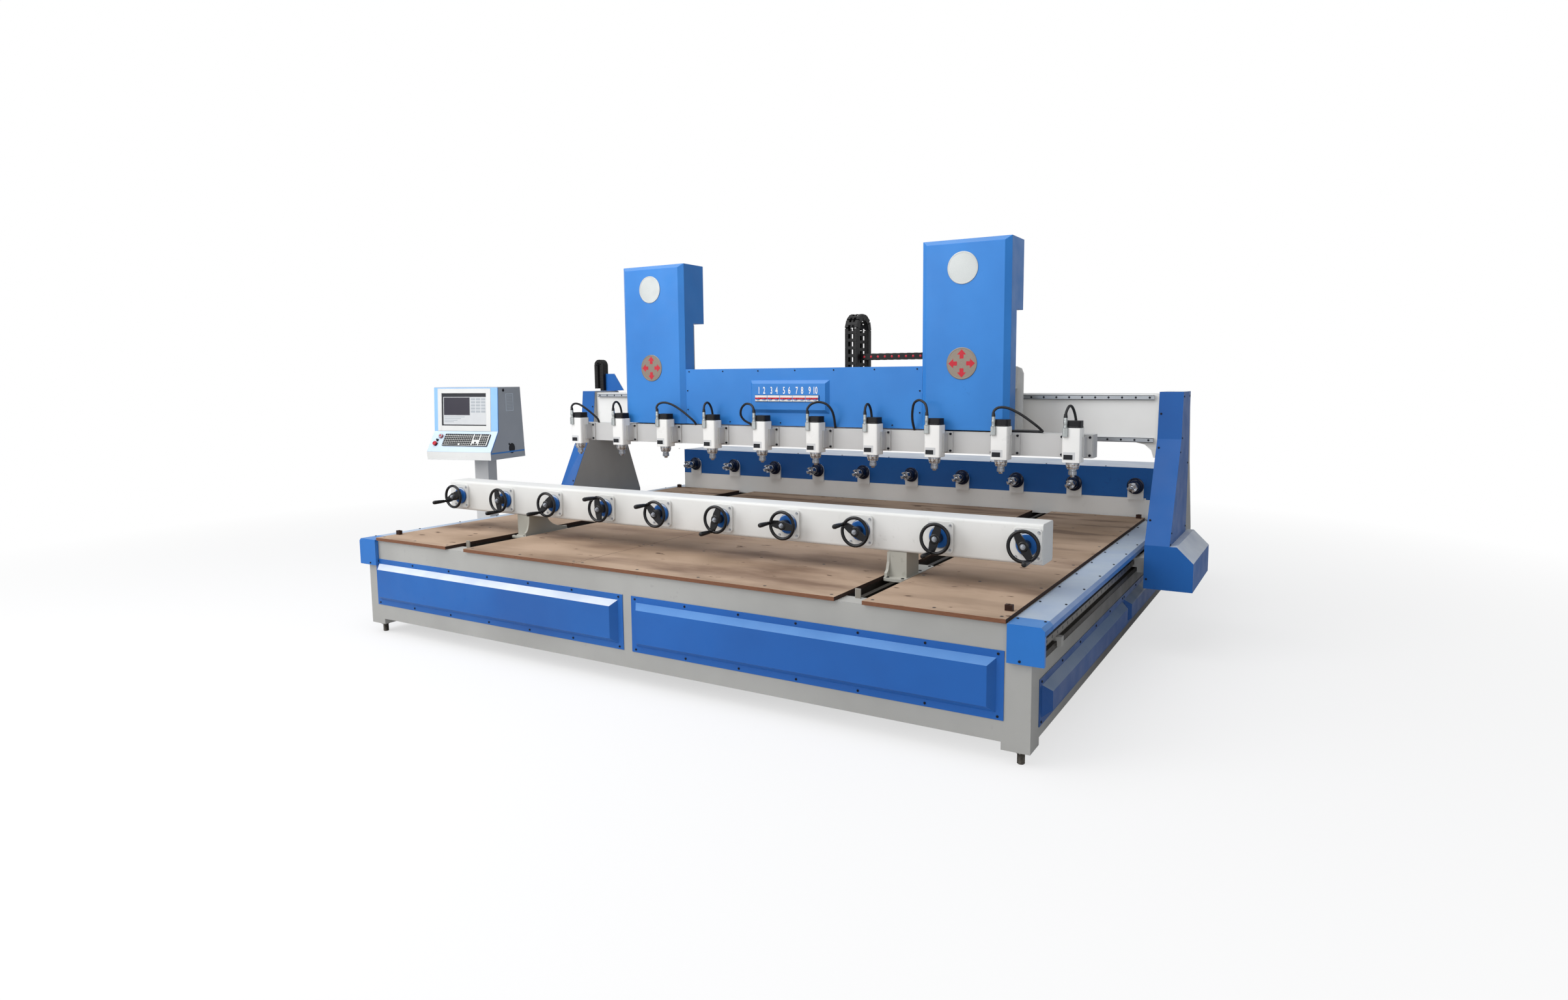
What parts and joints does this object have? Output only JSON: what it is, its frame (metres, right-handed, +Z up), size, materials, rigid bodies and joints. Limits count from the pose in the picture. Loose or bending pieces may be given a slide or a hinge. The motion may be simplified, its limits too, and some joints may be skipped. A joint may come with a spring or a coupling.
{
  "type": "wood router",
  "caption": "Large gantry wood router whose row of vertical spindles works over rotary stations between a headstock and a tailstock with handwheels, with a console beside it.",
  "frame": {"origin": "middle of the footprint of machine and console together, on the floor", "axes": "+X to the operator's right along the crossbeam, +Y from the handwheels to the headstock, +Z up"},
  "size_m": [6.1818, 3.8794, 2.295],
  "materials": {
    "blue_paint": "gloss powder coat",
    "white_paint": "satin paint",
    "grey_paint": "satin paint",
    "dark_grey_paint": "matt paint",
    "board": "raw fibre board",
    "black_plastic": "matt",
    "navy_steel": "gloss enamel",
    "bright_steel": "ground",
    "red_plastic": "gloss"
  },
  "bodies": {
    "bed": {"bed_frame": "grey_paint", "front_cover_left": "blue_paint", "front_cover_right": "blue_paint", "side_cover_left": "blue_paint", "side_cover_right": "blue_paint", "rail_cover_left": "blue_paint", "rail_cover_right": "blue_paint", "board_left": "board", "board_middle": "board", "board_right": "board", "headstock_base": "white_paint", "headstock_cover": "blue_paint", "console_stand": "grey_paint", "console_cabinet": "white_paint", "keyboard": "black_plastic"},
    "tailstock": {"tailstock_beam": "white_paint", "tailstock_foot_left": "grey_paint", "tailstock_foot_right": "grey_paint"},
    "gantry": {"column_left": "dark_grey_paint", "column_right": "dark_grey_paint", "column_cover_left": "blue_paint", "column_cover_right": "blue_paint", "crossbeam": "white_paint"},
    "carriage": {"x_carriage": "grey_paint", "cable_chain": "black_plastic"},
    "lift": {"tower_left": "blue_paint", "tower_right": "blue_paint", "front_panel": "blue_paint", "spindle_bar": "white_paint"},
    "chuck_body_1": {"chuck_1": "navy_steel"},
    "chuck_body_2": {"chuck_2": "navy_steel"},
    "chuck_body_3": {"chuck_3": "navy_steel"},
    "chuck_body_4": {"chuck_4": "navy_steel"},
    "chuck_body_5": {"chuck_5": "navy_steel"},
    "chuck_body_6": {"chuck_6": "navy_steel"},
    "chuck_body_7": {"chuck_7": "navy_steel"},
    "chuck_body_8": {"chuck_8": "navy_steel"},
    "chuck_body_9": {"chuck_9": "navy_steel"},
    "chuck_body_10": {"chuck_10": "navy_steel"},
    "handwheel_body_1": {"handwheel_1": "black_plastic"},
    "handwheel_body_2": {"handwheel_2": "black_plastic"},
    "handwheel_body_3": {"handwheel_3": "black_plastic"},
    "handwheel_body_4": {"handwheel_4": "black_plastic"},
    "handwheel_body_5": {"handwheel_5": "black_plastic"},
    "handwheel_body_6": {"handwheel_6": "black_plastic"},
    "handwheel_body_7": {"handwheel_7": "black_plastic"},
    "handwheel_body_8": {"handwheel_8": "black_plastic"},
    "handwheel_body_9": {"handwheel_9": "black_plastic"},
    "handwheel_body_10": {"handwheel_10": "black_plastic"},
    "spindle_body_1": {"spindle_nose_1": "bright_steel"},
    "spindle_body_2": {"spindle_nose_2": "bright_steel"},
    "spindle_body_3": {"spindle_nose_3": "bright_steel"},
    "spindle_body_4": {"spindle_nose_4": "bright_steel"},
    "spindle_body_5": {"spindle_nose_5": "bright_steel"},
    "spindle_body_6": {"spindle_nose_6": "bright_steel"},
    "spindle_body_7": {"spindle_nose_7": "bright_steel"},
    "spindle_body_8": {"spindle_nose_8": "bright_steel"},
    "spindle_body_9": {"spindle_nose_9": "bright_steel"},
    "spindle_body_10": {"spindle_nose_10": "bright_steel"},
    "button_body": {"emergency_button": "red_plastic"}
  },
  "joints": [
    {"name": "gantry_slide", "type": "slide", "parent": "bed", "child": "gantry", "axis": [0, -1, 0], "range_m": [-1.07, 1.5]},
    {"name": "carriage_slide", "type": "slide", "parent": "gantry", "child": "carriage", "axis": [1, 0, 0], "range_m": [-0.15, 0.25]},
    {"name": "lift_slide", "type": "slide", "parent": "carriage", "child": "lift", "axis": [0, 0, -1], "range_m": [0, 0.3]},
    {"name": "tailstock_slide", "type": "slide", "parent": "bed", "child": "tailstock", "axis": [0, 1, 0], "range_m": [-0.25, 1.4]},
    {"name": "chuck_1_spin", "type": "hinge", "parent": "bed", "child": "chuck_body_1", "pos_m": [-1.01608, 0.95535, 0.793], "axis": [0, 1, 0], "continuous": true},
    {"name": "chuck_2_spin", "type": "hinge", "parent": "bed", "child": "chuck_body_2", "pos_m": [-0.61608, 0.95535, 0.793], "axis": [0, 1, 0], "continuous": true},
    {"name": "chuck_3_spin", "type": "hinge", "parent": "bed", "child": "chuck_body_3", "pos_m": [-0.21608, 0.95535, 0.793], "axis": [0, 1, 0], "continuous": true},
    {"name": "chuck_4_spin", "type": "hinge", "parent": "bed", "child": "chuck_body_4", "pos_m": [0.18392, 0.95535, 0.793], "axis": [0, 1, 0], "continuous": true},
    {"name": "chuck_5_spin", "type": "hinge", "parent": "bed", "child": "chuck_body_5", "pos_m": [0.58392, 0.95535, 0.793], "axis": [0, 1, 0], "continuous": true},
    {"name": "chuck_6_spin", "type": "hinge", "parent": "bed", "child": "chuck_body_6", "pos_m": [0.98392, 0.95535, 0.793], "axis": [0, 1, 0], "continuous": true},
    {"name": "chuck_7_spin", "type": "hinge", "parent": "bed", "child": "chuck_body_7", "pos_m": [1.38392, 0.95535, 0.793], "axis": [0, 1, 0], "continuous": true},
    {"name": "chuck_8_spin", "type": "hinge", "parent": "bed", "child": "chuck_body_8", "pos_m": [1.78392, 0.95535, 0.793], "axis": [0, 1, 0], "continuous": true},
    {"name": "chuck_9_spin", "type": "hinge", "parent": "bed", "child": "chuck_body_9", "pos_m": [2.18392, 0.95535, 0.793], "axis": [0, 1, 0], "continuous": true},
    {"name": "chuck_10_spin", "type": "hinge", "parent": "bed", "child": "chuck_body_10", "pos_m": [2.58392, 0.95535, 0.793], "axis": [0, 1, 0], "continuous": true},
    {"name": "handwheel_1_turn", "type": "hinge", "parent": "tailstock", "child": "handwheel_body_1", "pos_m": [-1.01608, -1.52065, 0.793], "axis": [0, 1, 0], "continuous": true},
    {"name": "handwheel_2_turn", "type": "hinge", "parent": "tailstock", "child": "handwheel_body_2", "pos_m": [-0.61608, -1.52065, 0.793], "axis": [0, 1, 0], "continuous": true},
    {"name": "handwheel_3_turn", "type": "hinge", "parent": "tailstock", "child": "handwheel_body_3", "pos_m": [-0.21608, -1.52065, 0.793], "axis": [0, 1, 0], "continuous": true},
    {"name": "handwheel_4_turn", "type": "hinge", "parent": "tailstock", "child": "handwheel_body_4", "pos_m": [0.18392, -1.52065, 0.793], "axis": [0, 1, 0], "continuous": true},
    {"name": "handwheel_5_turn", "type": "hinge", "parent": "tailstock", "child": "handwheel_body_5", "pos_m": [0.58392, -1.52065, 0.793], "axis": [0, 1, 0], "continuous": true},
    {"name": "handwheel_6_turn", "type": "hinge", "parent": "tailstock", "child": "handwheel_body_6", "pos_m": [0.98392, -1.52065, 0.793], "axis": [0, 1, 0], "continuous": true},
    {"name": "handwheel_7_turn", "type": "hinge", "parent": "tailstock", "child": "handwheel_body_7", "pos_m": [1.38392, -1.52065, 0.793], "axis": [0, 1, 0], "continuous": true},
    {"name": "handwheel_8_turn", "type": "hinge", "parent": "tailstock", "child": "handwheel_body_8", "pos_m": [1.78392, -1.52065, 0.793], "axis": [0, 1, 0], "continuous": true},
    {"name": "handwheel_9_turn", "type": "hinge", "parent": "tailstock", "child": "handwheel_body_9", "pos_m": [2.18392, -1.52065, 0.793], "axis": [0, 1, 0], "continuous": true},
    {"name": "handwheel_10_turn", "type": "hinge", "parent": "tailstock", "child": "handwheel_body_10", "pos_m": [2.58392, -1.52065, 0.793], "axis": [0, 1, 0], "continuous": true},
    {"name": "spindle_1_spin", "type": "hinge", "parent": "lift", "child": "spindle_body_1", "pos_m": [-1.11908, -0.28065, 1], "axis": [0, 0, 1], "continuous": true},
    {"name": "spindle_2_spin", "type": "hinge", "parent": "lift", "child": "spindle_body_2", "pos_m": [-0.71908, -0.28065, 1], "axis": [0, 0, 1], "continuous": true},
    {"name": "spindle_3_spin", "type": "hinge", "parent": "lift", "child": "spindle_body_3", "pos_m": [-0.31908, -0.28065, 1], "axis": [0, 0, 1], "continuous": true},
    {"name": "spindle_4_spin", "type": "hinge", "parent": "lift", "child": "spindle_body_4", "pos_m": [0.08092, -0.28065, 1], "axis": [0, 0, 1], "continuous": true},
    {"name": "spindle_5_spin", "type": "hinge", "parent": "lift", "child": "spindle_body_5", "pos_m": [0.48092, -0.28065, 1], "axis": [0, 0, 1], "continuous": true},
    {"name": "spindle_6_spin", "type": "hinge", "parent": "lift", "child": "spindle_body_6", "pos_m": [0.88092, -0.28065, 1], "axis": [0, 0, 1], "continuous": true},
    {"name": "spindle_7_spin", "type": "hinge", "parent": "lift", "child": "spindle_body_7", "pos_m": [1.28092, -0.28065, 1], "axis": [0, 0, 1], "continuous": true},
    {"name": "spindle_8_spin", "type": "hinge", "parent": "lift", "child": "spindle_body_8", "pos_m": [1.68092, -0.28065, 1], "axis": [0, 0, 1], "continuous": true},
    {"name": "spindle_9_spin", "type": "hinge", "parent": "lift", "child": "spindle_body_9", "pos_m": [2.08092, -0.28065, 1], "axis": [0, 0, 1], "continuous": true},
    {"name": "spindle_10_spin", "type": "hinge", "parent": "lift", "child": "spindle_body_10", "pos_m": [2.48092, -0.28065, 1], "axis": [0, 0, 1], "continuous": true},
    {"name": "emergency_button_push", "type": "slide", "parent": "bed", "child": "button_body", "axis": [-0.1992, 0.811, -0.5502], "range_m": [0, 0.006], "stiffness_N_per_m": 900}
  ],
  "couplings": [
    {"joint": "chuck_2_spin", "follows": "chuck_1_spin", "ratio": 1},
    {"joint": "chuck_3_spin", "follows": "chuck_1_spin", "ratio": 1},
    {"joint": "chuck_4_spin", "follows": "chuck_1_spin", "ratio": 1},
    {"joint": "chuck_5_spin", "follows": "chuck_1_spin", "ratio": 1},
    {"joint": "chuck_6_spin", "follows": "chuck_1_spin", "ratio": 1},
    {"joint": "chuck_7_spin", "follows": "chuck_1_spin", "ratio": 1},
    {"joint": "chuck_8_spin", "follows": "chuck_1_spin", "ratio": 1},
    {"joint": "chuck_9_spin", "follows": "chuck_1_spin", "ratio": 1},
    {"joint": "chuck_10_spin", "follows": "chuck_1_spin", "ratio": 1}
  ]
}
